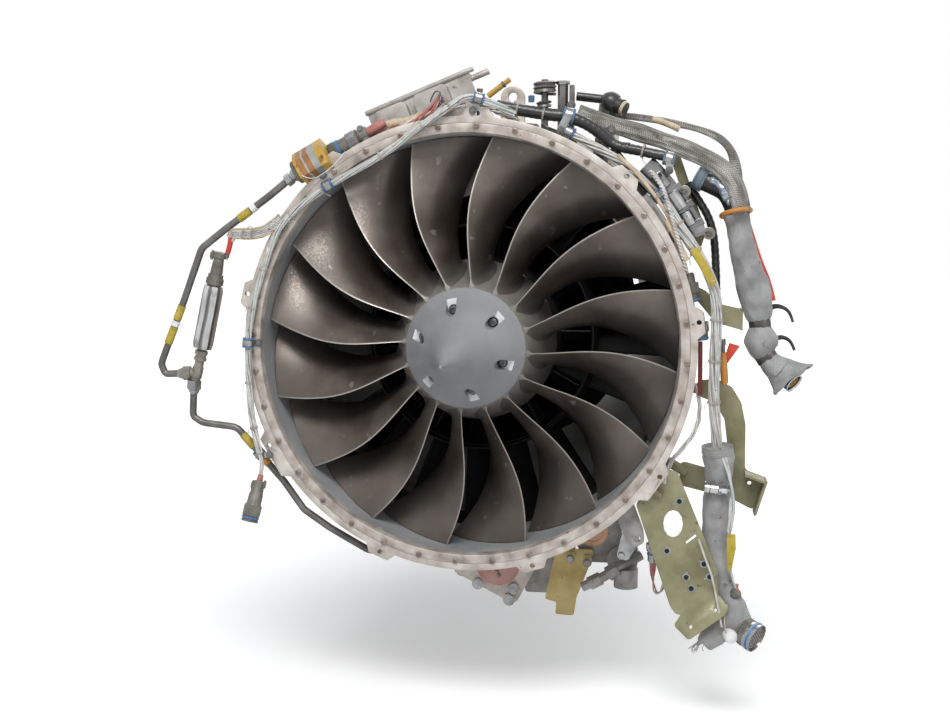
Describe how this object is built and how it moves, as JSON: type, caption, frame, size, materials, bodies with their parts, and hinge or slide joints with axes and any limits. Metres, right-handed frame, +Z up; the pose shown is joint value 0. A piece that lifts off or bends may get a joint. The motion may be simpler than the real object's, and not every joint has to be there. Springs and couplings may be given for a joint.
{
  "type": "turbofan engine",
  "caption": "Small twin-spool turbofan jet engine without its nacelle: wide-chord swept fan, long pointed spinner, bolted inlet flange and hanging harnesses.",
  "frame": {"origin": "centre of the inlet flange bolt circle, on the engine axis, in the front face of the flange", "axes": "+Y along the engine axis towards the exhaust, +Z up as the engine hangs, +X to the right seen from the front"},
  "size_m": [0.8763, 1.1787, 0.7755],
  "materials": {
    "blade_metal": "satin",
    "spinner_grey": "satin",
    "ring_alloy": "satin",
    "duct_grey": "matte",
    "case_alloy": "satin",
    "hot_steel": "satin",
    "gear_steel": "satin",
    "olive_primer": "satin",
    "yellow_primer": "satin",
    "bright_steel": "polished",
    "tube_steel": "satin",
    "sleeve_fabric": "matte",
    "wire_white": "satin",
    "black_sleeve": "matte",
    "braid_tin": "matte",
    "plug_grey": "satin",
    "amber_block": "gloss",
    "clamp_steel": "satin"
  },
  "bodies": {
    "engine": {"fan_case": "ring_alloy", "inlet_retaining_ring": "ring_alloy", "ring_screws": "tube_steel", "fan_liner": "duct_grey", "booster_stator": "case_alloy", "bypass_stator": "duct_grey", "intermediate_case": "case_alloy", "bearings": "gear_steel", "diffuser_case": "case_alloy", "core_case": "case_alloy", "combustor_liner": "hot_steel", "turbine_nozzles": "hot_steel", "exhaust_case": "hot_steel", "bypass_duct": "case_alloy", "exhaust_mixer": "hot_steel", "tail_cone": "hot_steel", "accessory_gearbox": "case_alloy", "fuel_pump": "case_alloy", "support_arm": "case_alloy", "mount_plate": "ring_alloy", "upper_sense_tube": "tube_steel", "lower_sense_tube": "tube_steel", "tube_tee": "bright_steel", "pressure_sensor": "bright_steel", "striped_connector": "amber_block", "front_harness": "wire_white", "ring_clamps": "clamp_steel", "pigtail_cord": "wire_white", "pigtail_plug": "plug_grey", "harness_plugs": "plug_grey", "terminal_tray": "case_alloy", "hoist_bracket": "ring_alloy", "coiled_tubes": "tube_steel", "black_hoses": "black_sleeve", "elbow_duct": "black_sleeve", "bonding_braid": "braid_tin", "bleed_manifold": "bright_steel", "right_harness": "wire_white", "upper_tail": "sleeve_fabric", "upper_plug": "plug_grey", "lower_tail": "sleeve_fabric", "lower_plug": "plug_grey", "tail_collar": "sleeve_fabric", "strap_bracket": "olive_primer", "c_bracket": "olive_primer", "long_bracket": "olive_primer", "yellow_bracket": "yellow_primer"},
    "fan_spool": {"fan_rotor": "blade_metal", "spinner": "spinner_grey", "spinner_screws": "gear_steel", "fan_shaft": "gear_steel", "booster_rotor": "case_alloy", "fan_turbine": "hot_steel"},
    "core_spool": {"core_shaft": "gear_steel", "impeller": "case_alloy", "core_turbine": "hot_steel"},
    "tower_shaft": {"tower_shaft": "gear_steel"},
    "drive_gear": {"drive_gear": "gear_steel"},
    "pump_gear": {"pump_gear": "gear_steel"},
    "power_lever": {"power_lever": "bright_steel"}
  },
  "joints": [
    {"name": "fan_spool_spin", "type": "hinge", "parent": "engine", "child": "fan_spool", "pos_m": [0, 0, 0], "axis": [0, 1, 0], "continuous": true},
    {"name": "core_spool_spin", "type": "hinge", "parent": "engine", "child": "core_spool", "pos_m": [0, 0.345, 0], "axis": [0, 1, 0], "continuous": true},
    {"name": "tower_shaft_spin", "type": "hinge", "parent": "engine", "child": "tower_shaft", "pos_m": [0, 0.345, -0.2], "axis": [0, 0, 1], "continuous": true},
    {"name": "drive_gear_spin", "type": "hinge", "parent": "engine", "child": "drive_gear", "pos_m": [0, 0.3, -0.332], "axis": [0, 1, 0], "continuous": true},
    {"name": "pump_gear_spin", "type": "hinge", "parent": "engine", "child": "pump_gear", "pos_m": [0.0468, 0.3, -0.332], "axis": [0, 1, 0], "continuous": true},
    {"name": "power_lever_pivot", "type": "hinge", "parent": "engine", "child": "power_lever", "pos_m": [0.218, 0.1, -0.274], "axis": [0, 1, 0], "range_deg": [-30, 45]}
  ],
  "couplings": [
    {"joint": "tower_shaft_spin", "follows": "core_spool_spin", "ratio": 2},
    {"joint": "drive_gear_spin", "follows": "core_spool_spin", "ratio": 2},
    {"joint": "pump_gear_spin", "follows": "core_spool_spin", "ratio": -1.7143}
  ]
}
